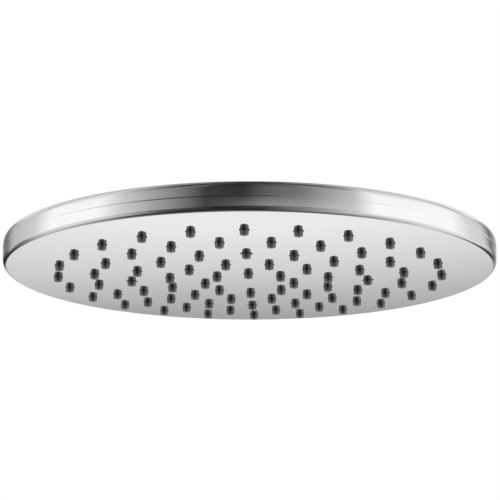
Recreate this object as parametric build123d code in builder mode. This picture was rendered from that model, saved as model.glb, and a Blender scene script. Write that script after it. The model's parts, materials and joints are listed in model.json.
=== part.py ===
from build123d import *
import os
from math import atan2, cos, degrees, radians, sin, sqrt

# A round rain shower head on a ball swivel, in millimetres, with +Z up.
# The origin is the middle of the inlet's mouth, and the head hangs below it.

# Inlet and ball, turned from one bar
inlet_radius = 9.3  # at the crests of the inside pipe thread
inlet_depth = 12.0  # down to the washer
neck_wall = 3.4
mouth_chamfer = 0.6
flat_depth = 0.75  # the two spanner flats, cut into the neck
flat_height = 3.6
ball_shoulder = 3.3  # how far the ball stands out past the neck
ball_drop = 14.0  # from the mouth to the ball's centre
ball_foot = 12.0  # from the ball's centre to its flat underside
outlet_radius = 6.0

# What the inlet holds
washer_thickness = 2.0
washer_step = 0.6  # how far the washer's recess is narrower than the thread
washer_bore = 5.6
inlet_clearance = 0.1  # around the pieces that drop into the inlet
screen_thickness = 0.5
mesh_opening = 1.0
mesh_wire = 0.5
regulator_ledge = 2.0  # how far the regulator's pocket is wider than the outlet
regulator_height = 4.0
regulator_wall = 1.6
regulator_floor = 1.2
regulator_post = 1.8
metering_radius = 0.7
metering_count = 6
regulator_ring_height = 1.6
regulator_ring_gap = 0.3

# Swivel: socket, seals, slip ring and collar
swivel_clearance = 0.1
oring_section = 1.0  # radius of the ball seal's section
oring_sides = 8
oring_angle = 66.0  # of the ball seal, up from the ball's lowest point
oring_clearance = 0.05
socket_wall = 3.4
socket_opening = 11.5
slip_ring_height = 5.0
slip_ring_clearance = 0.1
lip_height = 1.6
lip_clearance = 0.3
collar_wall = 4.0
collar_clearance = 0.1
collar_gap = 0.4  # between the collar's foot and the top shell
collar_round = 1.4
collar_chamfer = 0.5
flute_count = 36
flute_radius = 0.9
flute_sides = 6
flute_depth = 0.45
flange_width = 11.5
flange_thickness = 2.5
socket_seal_width = 2.0
socket_seal_depth = 1.2
socket_seal_inset = 0.8
socket_screw_count = 4
socket_screw_radius = 1.7
socket_screw_head_radius = 3.0
socket_screw_head_height = 2.0
socket_screw_bite = 4.2  # length in the top shell's hub

# Head: two shells that meet at the middle of the rim
head_diameter = 200.0
rim_height = 11.3
low_round = 2.0  # of the rim's lower edge
top_round = 3.2  # of the rim's top edge
seam_rise = 5.05  # from the rim's lower edge to the joint of the shells
rim_wall = 2.4
shadow_gap = 0.2  # fine groove where the shells meet
shadow_depth = 0.6
face_sag = 5.2  # how far the middle of the face hangs below its edge
face_wall = 2.0
dome_rise = 2.6  # from the rim's top edge to the land around the collar
shell_wall = 2.2
land_margin = 1.5  # width of the land outside the collar
land_drop = 5.0  # from the ball's centre down to the land
hub_height = 5.8  # thickness of the hub that takes the socket's screws
hub_clearance = 0.3
hub_margin = 1.6  # of the hub outside the socket's flange
rib_count = 8
rib_thickness = 1.8
rib_depth = 3.2

# Joint between the shells at the edge of the water chamber
chamber_margin = 15.0  # from the head's widest radius to the skirt's inside
skirt_wall = 2.2
seal_thickness = 2.0
seal_width = 2.6
tongue_gap = 0.4
tongue_wall = 1.8
tongue_height = 4.5

# Nozzles in rings, with a silicone mat behind the face
ring_count = 5
first_ring_radius = 18.0
first_ring_count = 8
count_step = 4  # more nozzles in each ring past the first
outer_ring_margin = 6.0  # from the outer ring to the mat's edge
mat_margin = 1.0  # between the mat and the skirt
mat_thickness = 1.2
nozzle_stem_radius = 1.75
nozzle_tip_radius = 1.65
nozzle_reach = 2.0  # below the face
nozzle_clearance = 0.25
nozzle_sides = 10
orifice_radius = 0.6
orifice_sides = 6
plate_thickness = 2.0
slot_width = 3.6
slot_web = 4.0  # between two slots of a ring

# Face screws, each hidden by a plug in place of a nozzle
screw_ring = 2  # counted from 0 at the middle
screw_count = 4
face_screw_radius = 1.45
face_screw_head_radius = 2.3
face_screw_head_height = 1.6
face_screw_bite = 8.0  # length in the top shell's boss
screw_clearance = 0.05
head_clearance = 0.12
shank_clearance = 0.2
ledge_thickness = 1.2  # under the head
face_boss_wall = 1.8
boss_clearance = 0.3
boss_seal_thickness = 0.8
shell_boss_margin = 1.3  # how far the shell's boss reaches past the hole in the plate
pad_margin = 0.8  # of the plate's flat pad around that boss
pad_rise = 0.3  # of the pad's top at its outer side
plug_reach = 1.85  # below the face
plug_recess = 0.6  # of the plug's shoulder, inside the face
plug_root_radius = 1.75
plug_tip_radius = 1.65

# Turned and moulded profiles are drawn on this half plane, which passes between the nozzles
section_turn = 35.0
section = Plane.XZ.rotated((0, 0, section_turn))

# Radii of the swivel
neck_radius = inlet_radius + neck_wall
ball_radius = neck_radius + ball_shoulder
recess_radius = inlet_radius - washer_step
pocket_radius = outlet_radius + regulator_ledge
pocket_depth = regulator_height + screen_thickness
seat_radius = ball_radius + swivel_clearance
socket_radius = seat_radius + socket_wall
collar_bore = socket_radius + collar_clearance
collar_radius = collar_bore + collar_wall
flange_radius = socket_radius + flange_width
socket_seal_radius = socket_radius + socket_seal_inset
socket_screw_circle = (socket_seal_radius + socket_seal_width + flange_radius) / 2
land_radius = collar_radius + land_margin
hub_bore = socket_radius + hub_clearance
hub_radius = flange_radius + hub_margin

# Heights, chained downwards from the inlet's mouth
recess_z = -inlet_depth
shoulder_z = recess_z - washer_thickness
ledge_z = shoulder_z - pocket_depth
ball_z = -ball_drop
ball_foot_z = ball_z - ball_foot
lip_z = ball_z + slip_ring_height
collar_top_z = lip_z + lip_height
land_z = ball_z - land_drop
collar_foot_z = land_z + collar_gap
flange_top_z = land_z - hub_height
flange_foot_z = flange_top_z - flange_thickness
top_edge_z = land_z - dome_rise
face_edge_z = top_edge_z - rim_height
seam_z = face_edge_z + seam_rise
face_z = face_edge_z - face_sag

# Curves of the head
head_radius = head_diameter / 2
cavity_radius = head_radius - rim_wall
face_sphere = (head_radius**2 + face_sag**2) / (2 * face_sag)
face_centre_z = face_z + face_sphere
dome_chord = (head_radius**2 - land_radius**2) / (2 * dome_rise)
dome_centre_z = (land_z + top_edge_z) / 2 - dome_chord
dome_sphere = sqrt(land_radius**2 + (land_z - dome_centre_z) ** 2)

# Radii of the head's inside
skirt_inside = head_radius - chamber_margin
skirt_outside = skirt_inside + skirt_wall
tongue_inside = skirt_outside + tongue_gap
tongue_outside = tongue_inside + tongue_wall
mat_radius = skirt_inside - mat_margin
outer_ring_radius = mat_radius - outer_ring_margin
ring_pitch = (outer_ring_radius - first_ring_radius) / (ring_count - 1)
mat_top = face_wall + mat_thickness
plate_top = mat_top + plate_thickness
hole_radius = nozzle_stem_radius + nozzle_clearance
counterbore_radius = face_screw_head_radius + head_clearance
face_boss_radius = counterbore_radius + face_boss_wall
boss_hole_radius = face_boss_radius + boss_clearance
shell_boss_radius = boss_hole_radius + shell_boss_margin
pad_radius = shell_boss_radius + pad_margin


def face_level(depth, radius):
    """Height of the dished surface that lies depth inside the face."""
    return face_centre_z - sqrt((face_sphere - depth) ** 2 - radius**2)


def dome_level(depth, radius):
    """Height of the domed surface that lies depth inside the top."""
    return dome_centre_z + sqrt((dome_sphere - depth) ** 2 - radius**2)


def ball_reach(radius, height):
    """Reach from the axis of a sphere about the ball's centre, at a height."""
    return sqrt(radius**2 - (height - ball_z) ** 2)


def level_points(level, depth, inner, outer):
    """Three points of a profile along a dished or domed surface."""
    return [(radius, level(depth, radius)) for radius in (inner, (inner + outer) / 2, outer)]


def ring_angles(ring):
    """Angles of one ring's nozzles; every second ring is turned by half a step."""
    count = first_ring_count + ring * count_step
    step = 360 / count
    start = step / 2 if ring % 2 else 0
    return [start + step * place for place in range(count)]


def nozzle_angles(ring):
    """Angles of one ring's nozzles, without the places that the screws take."""
    screw_step = 360 / screw_count
    return [angle for angle in ring_angles(ring) if ring != screw_ring or angle % screw_step]


def web_start(ring):
    """Angle of a ring's first web: at a screw on the screws' ring, between two nozzles on the rest."""
    first, second = ring_angles(ring)[:2]
    return first if ring == screw_ring else (first + second) / 2


def ring_radius(ring):
    return first_ring_radius + ring * ring_pitch


def nozzle_spots(ring):
    """Places of the roots of one ring's nozzles, on the face."""
    radius = ring_radius(ring)
    turns = [radians(angle) for angle in nozzle_angles(ring)]
    return [(radius * cos(turn), radius * sin(turn), face_level(0, radius)) for turn in turns]


lip_radius = ball_reach(ball_radius, lip_z) + lip_clearance
rings = range(ring_count)
screw_circle = ring_radius(screw_ring)
pad_z = face_level(plate_top, screw_circle + pad_radius) + pad_rise
face_boss_z = pad_z - boss_seal_thickness
head_seat_z = face_boss_z - ledge_thickness
plug_top_z = head_seat_z - face_screw_head_height
plug_face_z = face_level(0, screw_circle)
screw_end_z = pad_z + face_screw_bite
nozzle_roots = [spot for ring in rings for spot in nozzle_spots(ring)]
nozzle_places = [(x, y) for x, y, z in nozzle_roots]
lowest_z = face_z - nozzle_reach
stack_height = face_level(plate_top, mat_radius) - lowest_z

# Ball nipple: threaded inlet, neck and ball in one piece
with BuildPart() as ball_nipple:
    with BuildSketch(section):
        with BuildLine():
            neck_foot_z = ball_z + sqrt(ball_radius**2 - neck_radius**2)
            foot_radius = ball_reach(ball_radius, ball_foot_z)
            Polyline((inlet_radius, 0), (neck_radius, 0), (neck_radius, neck_foot_z))
            ThreePointArc((neck_radius, neck_foot_z), (ball_radius, ball_z), (foot_radius, ball_foot_z))
            Polyline(
                (foot_radius, ball_foot_z),
                (outlet_radius, ball_foot_z),
                (outlet_radius, ledge_z),
                (pocket_radius, ledge_z),
                (pocket_radius, shoulder_z),
                (recess_radius, shoulder_z),
                (recess_radius, recess_z),
                (inlet_radius, recess_z),
                (inlet_radius, 0),
            )
        make_face()
    revolve(axis=Axis.Z)
    mouth_edges = ball_nipple.edges().filter_by(GeomType.CIRCLE).group_by(Axis.Z)[-1]
    chamfer(mouth_edges.sort_by(SortBy.RADIUS)[-1], mouth_chamfer)
    with BuildSketch(Plane.XY):
        Circle(2 * neck_radius)
        Rectangle(2 * (neck_radius - flat_depth), 4 * neck_radius, mode=Mode.SUBTRACT)
    extrude(amount=-flat_height, mode=Mode.SUBTRACT)
    oring_circle = (ball_radius + oring_clearance - oring_section) * sin(radians(oring_angle))
    oring_z = ball_z - (ball_radius + oring_clearance - oring_section) * cos(radians(oring_angle))
    with BuildSketch(section):
        with Locations((oring_circle, oring_z)):
            RegularPolygon(oring_section + oring_clearance, oring_sides)
    revolve(axis=Axis.Z, mode=Mode.SUBTRACT)

# Ball seal, which rides in the ball's groove
with BuildPart() as ball_oring:
    with BuildSketch(section):
        with Locations((oring_circle, oring_z)):
            RegularPolygon(oring_section, oring_sides)
    revolve(axis=Axis.Z)

# Filter washer in the recess below the thread
with BuildPart() as filter_washer:
    with BuildSketch(Plane.XY.offset(shoulder_z)):
        Circle(recess_radius - inlet_clearance)
        Circle(washer_bore, mode=Mode.SUBTRACT)
    extrude(amount=washer_thickness)

# Filter screen, with the square openings that show inside the washer
with BuildPart() as filter_screen:
    mesh_pitch = mesh_opening + mesh_wire
    mesh_rows = 2 * int(washer_bore / mesh_pitch) + 1
    mesh_places = GridLocations(mesh_pitch, mesh_pitch, mesh_rows, mesh_rows).locations
    open_places = [place for place in mesh_places if place.position.length + mesh_opening < washer_bore]
    with BuildSketch(Plane.XY.offset(shoulder_z - screen_thickness)):
        Circle(pocket_radius - inlet_clearance)
        with Locations(*open_places):
            Rectangle(mesh_opening, mesh_opening, mode=Mode.SUBTRACT)
    extrude(amount=screen_thickness)

# Flow regulator: a cup with metering holes around a post
with BuildPart() as flow_regulator:
    regulator_radius = pocket_radius - inlet_clearance
    cup_radius = regulator_radius - regulator_wall
    metering_circle = (regulator_post + cup_radius) / 2
    with BuildSketch(Plane.XY.offset(ledge_z)):
        Circle(regulator_radius)
        with PolarLocations(metering_circle, metering_count):
            Circle(metering_radius, mode=Mode.SUBTRACT)
    extrude(amount=regulator_floor)
    with BuildSketch(Plane.XY.offset(ledge_z + regulator_floor)):
        Circle(regulator_radius)
        Circle(cup_radius, mode=Mode.SUBTRACT)
        Circle(regulator_post)
    extrude(amount=regulator_height - regulator_floor)

# Rubber ring that narrows the metering holes as the flow rises
with BuildPart() as regulator_ring:
    with BuildSketch(Plane.XY.offset(ledge_z + regulator_floor)):
        Circle(cup_radius - regulator_ring_gap)
        Circle(regulator_post + regulator_ring_gap, mode=Mode.SUBTRACT)
    extrude(amount=regulator_ring_height)

# Swivel socket: lower ball seat, threaded spigot and flange
with BuildPart() as swivel_socket:
    with BuildSketch(section):
        with BuildLine():
            seat_foot_z = ball_z - sqrt(seat_radius**2 - socket_opening**2)
            half_seat_z = (ball_z + seat_foot_z) / 2
            ThreePointArc(
                (seat_radius, ball_z),
                (ball_reach(seat_radius, half_seat_z), half_seat_z),
                (socket_opening, seat_foot_z),
            )
            Polyline(
                (socket_opening, seat_foot_z),
                (socket_opening, flange_foot_z),
                (flange_radius, flange_foot_z),
                (flange_radius, flange_top_z),
                (socket_radius, flange_top_z),
                (socket_radius, ball_z),
                (seat_radius, ball_z),
            )
        make_face()
    revolve(axis=Axis.Z)
    with BuildSketch(Plane.XY.offset(flange_top_z)):
        Circle(socket_seal_radius + socket_seal_width)
        Circle(socket_seal_radius, mode=Mode.SUBTRACT)
    extrude(amount=-socket_seal_depth, mode=Mode.SUBTRACT)
    with BuildSketch(Plane.XY.offset(flange_top_z)):
        with PolarLocations(socket_screw_circle, socket_screw_count):
            Circle(socket_screw_radius + shank_clearance)
    extrude(amount=-flange_thickness, mode=Mode.SUBTRACT)

# Seal between the socket's flange and the top shell
with BuildPart() as socket_seal:
    with BuildSketch(Plane.XY.offset(flange_top_z)):
        Circle(socket_seal_radius + socket_seal_width)
        Circle(socket_seal_radius, mode=Mode.SUBTRACT)
    extrude(amount=-socket_seal_depth)

# Slip ring: upper ball seat, held down by the collar
with BuildPart() as slip_ring:
    with BuildSketch(section):
        with BuildLine():
            slip_top = ball_reach(seat_radius, lip_z)
            half_slip_z = (ball_z + lip_z) / 2
            slip_outside = collar_bore - slip_ring_clearance
            ThreePointArc(
                (seat_radius, ball_z), (ball_reach(seat_radius, half_slip_z), half_slip_z), (slip_top, lip_z)
            )
            Polyline((slip_top, lip_z), (slip_outside, lip_z), (slip_outside, ball_z), (seat_radius, ball_z))
        make_face()
    revolve(axis=Axis.Z)

# Collar nut with a fluted grip
with BuildPart() as collar_nut:
    with BuildSketch(section):
        Polygon(
            (collar_bore, collar_foot_z),
            (collar_radius, collar_foot_z),
            (collar_radius, collar_top_z),
            (lip_radius, collar_top_z),
            (lip_radius, lip_z),
            (collar_bore, lip_z),
            align=None,
        )
    revolve(axis=Axis.Z)
    collar_rims = collar_nut.edges().filter_by(GeomType.CIRCLE)
    fillet(collar_rims.group_by(Axis.Z)[-1].sort_by(SortBy.RADIUS)[-1], collar_round)
    chamfer(collar_rims.group_by(Axis.Z)[0].sort_by(SortBy.RADIUS)[-1], collar_chamfer)
    with BuildSketch(Plane.XY.offset(collar_foot_z)):
        with PolarLocations(collar_radius + flute_radius - flute_depth, flute_count):
            RegularPolygon(flute_radius, flute_sides)
    extrude(amount=collar_top_z - collar_round - collar_foot_z, mode=Mode.SUBTRACT)

# Screws that hold the socket's flange up against the hub
with BuildPart() as socket_screws:
    with BuildSketch(Plane.XY.offset(flange_foot_z)):
        with PolarLocations(socket_screw_circle, socket_screw_count):
            Circle(socket_screw_head_radius)
    extrude(amount=-socket_screw_head_height)
    with BuildSketch(Plane.XY.offset(flange_foot_z)):
        with PolarLocations(socket_screw_circle, socket_screw_count):
            Circle(socket_screw_radius)
    extrude(amount=flange_thickness + socket_screw_bite)

# One stiffening rib of the top shell, from its hub to its skirt
with BuildPart() as shell_rib:
    with BuildSketch(Plane.XZ):
        with BuildLine():
            rib_inside = flange_radius + hub_margin / 2
            rib_roof = level_points(dome_level, shell_wall / 2, rib_inside, skirt_inside)
            rib_foot_z = dome_level(shell_wall + rib_depth, skirt_inside)
            ThreePointArc(*rib_roof)
            Polyline(rib_roof[2], (rib_roof[2][0], rib_foot_z), (rib_roof[0][0], rib_foot_z), rib_roof[0])
        make_face()
    extrude(amount=rib_thickness / 2, both=True)

# Top shell: domed cover with its half of the rim, hub, skirt, ribs and screw bosses
with BuildPart() as top_shell:
    with BuildSketch(section) as top_section:
        with BuildLine():
            lip_in_z = seam_z + shadow_gap
            dome_outside = level_points(dome_level, 0, land_radius, head_radius)
            dome_inside = level_points(dome_level, shell_wall, hub_radius, cavity_radius)
            Polyline(
                (cavity_radius, seam_z),
                (head_radius - shadow_depth, seam_z),
                (head_radius - shadow_depth, lip_in_z),
                (head_radius, lip_in_z),
                dome_outside[2],
            )
            ThreePointArc(*dome_outside)
            Polyline(
                dome_outside[0],
                (hub_bore, land_z),
                (hub_bore, flange_top_z),
                (hub_radius, flange_top_z),
                dome_inside[0],
            )
            ThreePointArc(*dome_inside)
            Line(dome_inside[2], (cavity_radius, seam_z))
        make_face()
        fillet(top_section.vertices().group_by(Axis.X)[-1].sort_by(Axis.Y)[-1], top_round)
    revolve(axis=Axis.Z)
    with BuildSketch(section):
        with BuildLine():
            skirt_foot = level_points(face_level, face_wall + seal_thickness, skirt_inside, skirt_outside)
            skirt_roof = level_points(dome_level, shell_wall / 2, skirt_inside, skirt_outside)
            ThreePointArc(*skirt_foot)
            Polyline(skirt_foot[2], skirt_roof[2], skirt_roof[0], skirt_foot[0])
        make_face()
    revolve(axis=Axis.Z)
    with PolarLocations(0, rib_count, start_angle=180 / rib_count):
        add(shell_rib.part)
    with BuildSketch(Plane.XY.offset(pad_z)):
        with PolarLocations(screw_circle, screw_count):
            Circle(shell_boss_radius)
    extrude(amount=dome_level(shell_wall / 2, screw_circle) - pad_z)
    with BuildSketch(Plane.XY.offset(pad_z)):
        with PolarLocations(screw_circle, screw_count):
            Circle(face_screw_radius + screw_clearance)
    extrude(amount=face_screw_bite + screw_clearance, mode=Mode.SUBTRACT)
    with BuildSketch(Plane.XY.offset(flange_top_z)):
        with PolarLocations(socket_screw_circle, socket_screw_count):
            Circle(socket_screw_radius + screw_clearance)
    extrude(amount=socket_screw_bite + screw_clearance, mode=Mode.SUBTRACT)

# Face shell: dished face with its half of the rim, a tongue for the joint and screw bosses
with BuildPart() as face_shell:
    with BuildSketch(section) as face_section:
        with BuildLine():
            face_outside = level_points(face_level, 0, 0, head_radius)
            face_inside = level_points(face_level, face_wall, 0, cavity_radius)
            ThreePointArc(*face_outside)
            Polyline(face_outside[2], (head_radius, seam_z), (cavity_radius, seam_z), face_inside[2])
            ThreePointArc(*face_inside)
            Line(face_inside[0], face_outside[0])
        make_face()
        fillet(face_section.vertices().group_by(Axis.X)[-1].sort_by(Axis.Y)[0], low_round)
    revolve(axis=Axis.Z)
    with BuildSketch(section):
        with BuildLine():
            tongue_foot = level_points(face_level, face_wall / 2, tongue_inside, tongue_outside)
            tongue_top_z = face_level(face_wall, tongue_inside) + tongue_height
            ThreePointArc(*tongue_foot)
            Polyline(
                tongue_foot[2], (tongue_outside, tongue_top_z), (tongue_inside, tongue_top_z), tongue_foot[0]
            )
        make_face()
    revolve(axis=Axis.Z)
    with BuildSketch(Plane.XY.offset(face_boss_z)):
        with PolarLocations(screw_circle, screw_count):
            Circle(face_boss_radius)
    extrude(amount=face_level(face_wall / 2, screw_circle) - face_boss_z)
    with BuildSketch(Plane.XY.offset(face_boss_z)):
        with PolarLocations(screw_circle, screw_count):
            Circle(face_screw_radius + shank_clearance)
    extrude(amount=-ledge_thickness, mode=Mode.SUBTRACT)
    with BuildSketch(Plane.XY.offset(head_seat_z)):
        with PolarLocations(screw_circle, screw_count):
            Circle(counterbore_radius)
    extrude(amount=face_z - head_seat_z, mode=Mode.SUBTRACT)
    with BuildSketch(Plane.XY.offset(lowest_z)):
        with Locations(*nozzle_places):
            RegularPolygon(hole_radius, nozzle_sides)
    extrude(amount=stack_height, mode=Mode.SUBTRACT)

# Seal under the skirt, between the two shells
with BuildPart() as perimeter_seal:
    with BuildSketch(section):
        with BuildLine():
            seal_inside = tongue_inside - seal_width
            seal_foot = level_points(face_level, face_wall, seal_inside, tongue_inside)
            seal_roof = level_points(face_level, face_wall + seal_thickness, seal_inside, tongue_inside)
            ThreePointArc(*seal_foot)
            Line(seal_foot[2], seal_roof[2])
            ThreePointArc(*seal_roof)
            Line(seal_roof[0], seal_foot[0])
        make_face()
    revolve(axis=Axis.Z)

# One nozzle, with its root in the plane of the face: a stem for the hole, and a tapered end
with BuildPart() as nozzle:
    with BuildSketch(Plane.XY):
        RegularPolygon(nozzle_stem_radius, nozzle_sides)
    extrude(amount=face_wall + mat_thickness / 2)
    with BuildSketch(Plane.XY):
        RegularPolygon(nozzle_stem_radius, nozzle_sides)
    nozzle_taper = degrees(atan2(nozzle_stem_radius - nozzle_tip_radius, nozzle_reach))
    extrude(amount=-nozzle_reach, taper=nozzle_taper)

# Nozzle mat: one silicone sheet with a nozzle through each hole of the face
with BuildPart() as nozzle_mat:
    with BuildSketch(section):
        with BuildLine():
            mat_foot = level_points(face_level, face_wall, 0, mat_radius)
            mat_roof = level_points(face_level, mat_top, 0, mat_radius)
            ThreePointArc(*mat_foot)
            Line(mat_foot[2], mat_roof[2])
            ThreePointArc(*mat_roof)
            Line(mat_roof[0], mat_foot[0])
        make_face()
    revolve(axis=Axis.Z)
    with Locations(*nozzle_roots):
        add(nozzle.part)
    with BuildSketch(Plane.XY.offset(lowest_z)):
        with Locations(*nozzle_places):
            RegularPolygon(orifice_radius, orifice_sides)
        with PolarLocations(screw_circle, screw_count):
            Circle(boss_hole_radius)
    extrude(amount=stack_height, mode=Mode.SUBTRACT)

# Pressure plate, with slots over the nozzles and a flat pad at each screw
with BuildPart() as pressure_plate:
    with BuildSketch(section):
        with BuildLine():
            plate_foot = level_points(face_level, mat_top, 0, mat_radius)
            plate_roof = level_points(face_level, plate_top, 0, mat_radius)
            ThreePointArc(*plate_foot)
            Line(plate_foot[2], plate_roof[2])
            ThreePointArc(*plate_roof)
            Line(plate_roof[0], plate_foot[0])
        make_face()
    revolve(axis=Axis.Z)
    with BuildSketch(Plane.XY.offset(pad_z)):
        with PolarLocations(screw_circle, screw_count):
            Circle(pad_radius)
    extrude(amount=face_level(mat_top + plate_thickness / 2, screw_circle) - pad_z)
    with BuildSketch(Plane.XY.offset(lowest_z)):
        with PolarLocations(screw_circle, screw_count):
            Circle(boss_hole_radius)
    extrude(amount=stack_height, mode=Mode.SUBTRACT)
    with BuildSketch(Plane.XY.offset(lowest_z)):
        for ring in reversed(rings):
            Circle(ring_radius(ring) + slot_width / 2)
            Circle(ring_radius(ring) - slot_width / 2, mode=Mode.SUBTRACT)
            web = 2 * pad_radius if ring == screw_ring else slot_web
            with PolarLocations(ring_radius(ring), screw_count, start_angle=web_start(ring)):
                Rectangle(2 * slot_width, web, mode=Mode.SUBTRACT)
    extrude(amount=stack_height, mode=Mode.SUBTRACT)

# Screws that hold the face, driven up from below
with BuildPart() as face_screws:
    with BuildSketch(Plane.XY.offset(head_seat_z)):
        with PolarLocations(screw_circle, screw_count):
            Circle(face_screw_head_radius)
    extrude(amount=-face_screw_head_height)
    with BuildSketch(Plane.XY.offset(head_seat_z)):
        with PolarLocations(screw_circle, screw_count):
            Circle(face_screw_radius)
    extrude(amount=screw_end_z - head_seat_z)

pieces = {
    "ball_nipple": ball_nipple,
    "ball_oring": ball_oring,
    "filter_washer": filter_washer,
    "filter_screen": filter_screen,
    "flow_regulator": flow_regulator,
    "regulator_ring": regulator_ring,
    "swivel_socket": swivel_socket,
    "socket_seal": socket_seal,
    "slip_ring": slip_ring,
    "collar_nut": collar_nut,
    "socket_screws": socket_screws,
    "top_shell": top_shell,
    "face_shell": face_shell,
    "perimeter_seal": perimeter_seal,
    "nozzle_mat": nozzle_mat,
    "pressure_plate": pressure_plate,
    "face_screws": face_screws,
}

# At each screw, a seal between the two bosses and a plug over the head
for number in range(screw_count):
    turn = radians(number * 360 / screw_count)
    screw_spot = (screw_circle * cos(turn), screw_circle * sin(turn))
    with BuildPart() as boss_seal:
        with BuildSketch(Plane.XY.offset(face_boss_z)):
            with Locations(screw_spot):
                Circle(face_boss_radius)
                Circle(face_screw_radius + shank_clearance, mode=Mode.SUBTRACT)
        extrude(amount=boss_seal_thickness)
    with BuildPart() as screw_plug:
        shoulder = plug_face_z + plug_recess
        with BuildSketch(Plane.XY.offset(shoulder)):
            with Locations(screw_spot):
                Circle(face_screw_head_radius)
        extrude(amount=plug_top_z - shoulder)
        with Locations((*screw_spot, plug_face_z - plug_reach)):
            Cone(
                plug_tip_radius,
                plug_root_radius,
                plug_reach + plug_recess,
                align=(Align.CENTER, Align.CENTER, Align.MIN),
            )
    pieces[f"boss_seal_{number + 1}"] = boss_seal
    pieces[f"screw_plug_{number + 1}"] = screw_plug

os.makedirs("parts", exist_ok=True)
for name, piece in pieces.items():
    piece.part.label = name
    export_step(piece.part, f"parts/{name}.step")
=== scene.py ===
"""Looks of a rain shower head on a ball swivel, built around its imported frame.

Sizes and colours are properties, each piece or group of like pieces has an operator, and main() runs them.
"""

import json
from math import acos, asin, atan, cos, degrees, hypot, radians, sin, sqrt, tau

import bmesh
import bpy
from bpy.props import FloatProperty, FloatVectorProperty, IntProperty, PointerProperty
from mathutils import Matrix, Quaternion, Vector
from mathutils.geometry import delaunay_2d_cdt


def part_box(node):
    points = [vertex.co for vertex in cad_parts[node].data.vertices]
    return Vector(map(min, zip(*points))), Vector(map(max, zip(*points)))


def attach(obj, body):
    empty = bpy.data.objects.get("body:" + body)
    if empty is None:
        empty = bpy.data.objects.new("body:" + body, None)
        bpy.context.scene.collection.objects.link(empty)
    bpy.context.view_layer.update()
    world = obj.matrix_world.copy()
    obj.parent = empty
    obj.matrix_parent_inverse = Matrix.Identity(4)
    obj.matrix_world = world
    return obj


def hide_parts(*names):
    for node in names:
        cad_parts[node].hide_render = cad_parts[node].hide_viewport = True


bl_info = {
    "name": "Rain shower head",
    "version": (1, 0, 0),
    "blender": (4, 5, 0),
    "location": "3D View > Sidebar > Shower head",
    "description": "Mirror shells, silicone nozzles, swivel and studio of a rain shower head",
    "category": "Object",
}

# The frame, with the places that its nodes give
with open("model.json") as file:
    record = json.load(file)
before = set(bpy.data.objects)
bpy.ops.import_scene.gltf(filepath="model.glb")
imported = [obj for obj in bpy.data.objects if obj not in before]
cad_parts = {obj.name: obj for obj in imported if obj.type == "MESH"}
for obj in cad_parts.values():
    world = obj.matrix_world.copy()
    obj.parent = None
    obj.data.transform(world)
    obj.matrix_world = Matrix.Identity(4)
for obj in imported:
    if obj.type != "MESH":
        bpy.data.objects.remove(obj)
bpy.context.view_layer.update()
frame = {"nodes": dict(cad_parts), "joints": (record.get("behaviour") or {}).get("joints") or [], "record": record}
record = frame["record"]
face_low, face_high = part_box("face_shell")
top_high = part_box("top_shell")[1]
mat_low, mat_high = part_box("nozzle_mat")
plug_low, plug_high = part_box("screw_plug_1")
boss_low, boss_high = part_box("boss_seal_1")
rim_seal_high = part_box("perimeter_seal")[1]
ball_low, ball_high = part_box("ball_nipple")
collar_low, collar_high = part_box("collar_nut")
socket_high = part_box("swivel_socket")[1]
flange_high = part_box("socket_seal")[1]
slip_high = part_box("slip_ring")[1]
oring_low, oring_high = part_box("ball_oring")
washer_low, washer_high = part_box("filter_washer")
screen_low, screen_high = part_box("filter_screen")
regulator_low, regulator_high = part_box("flow_regulator")
swivel_z = frame["joints"][0]["pos_m"][2]
inlet = record["mounts"][0]["dims"]

# Small distances in metres, and steps of the meshes
MM = 0.001
MERGE = 1e-7
SUPPORT = 0.1 * MM
SHEET_SPACING = 4.5 * MM
SHEET_MARGIN = 1.2 * MM
ROW_SHARE = sqrt(0.75)
SHARP = radians(28)
LIP_SHARE = 0.9
HEAD_STEPS = 288
RIM_STEPS = 20
FACE_EDGE_STEPS = 6
INSIDE_STEPS = 4
DOME_STEPS = 40
DOME_INSIDE_STEPS = 20
RIB_STEPS = 12
ROUNDING_TRIES = 3
HOLE_STEPS = 24
NOZZLE_STEPS = 24
TIP_STEPS = 5
SWIVEL_STEPS = 180
BALL_STEPS = 24
BALL_FOOT_STEPS = 12
FLAT_STEPS = 6
THREAD_STEPS = 64
GRIP_STEPS = 14
COLLAR_ROUND_STEPS = 8
FLUTE_STEPS = 12
WIRE_STEPS = 6
WIRE_SIDES = 6
FLOOR_STEPS = 64

# Patterns of the finishes, and the floor's
NOISE_DETAIL = 3.0
PATTERN_SPAN = (0.25, 0.75)
TURN_STRETCH = 2.0 * MM
# Painted shade on the silicone: full within the first distance below the face, gone beyond the second
PAINTED_SHADE_SPAN = (0.3 * MM, 1.7 * MM)
GRAIN_SHARE = 0.2
SILICONE_IOR = 2.1
FLOOR_GRAIN = 0.6
FLOOR_SHADE = 0.985
FLOOR_ROUGHNESS = (0.7, 0.8)
FLOOR_FINISH = "Floor"

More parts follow.
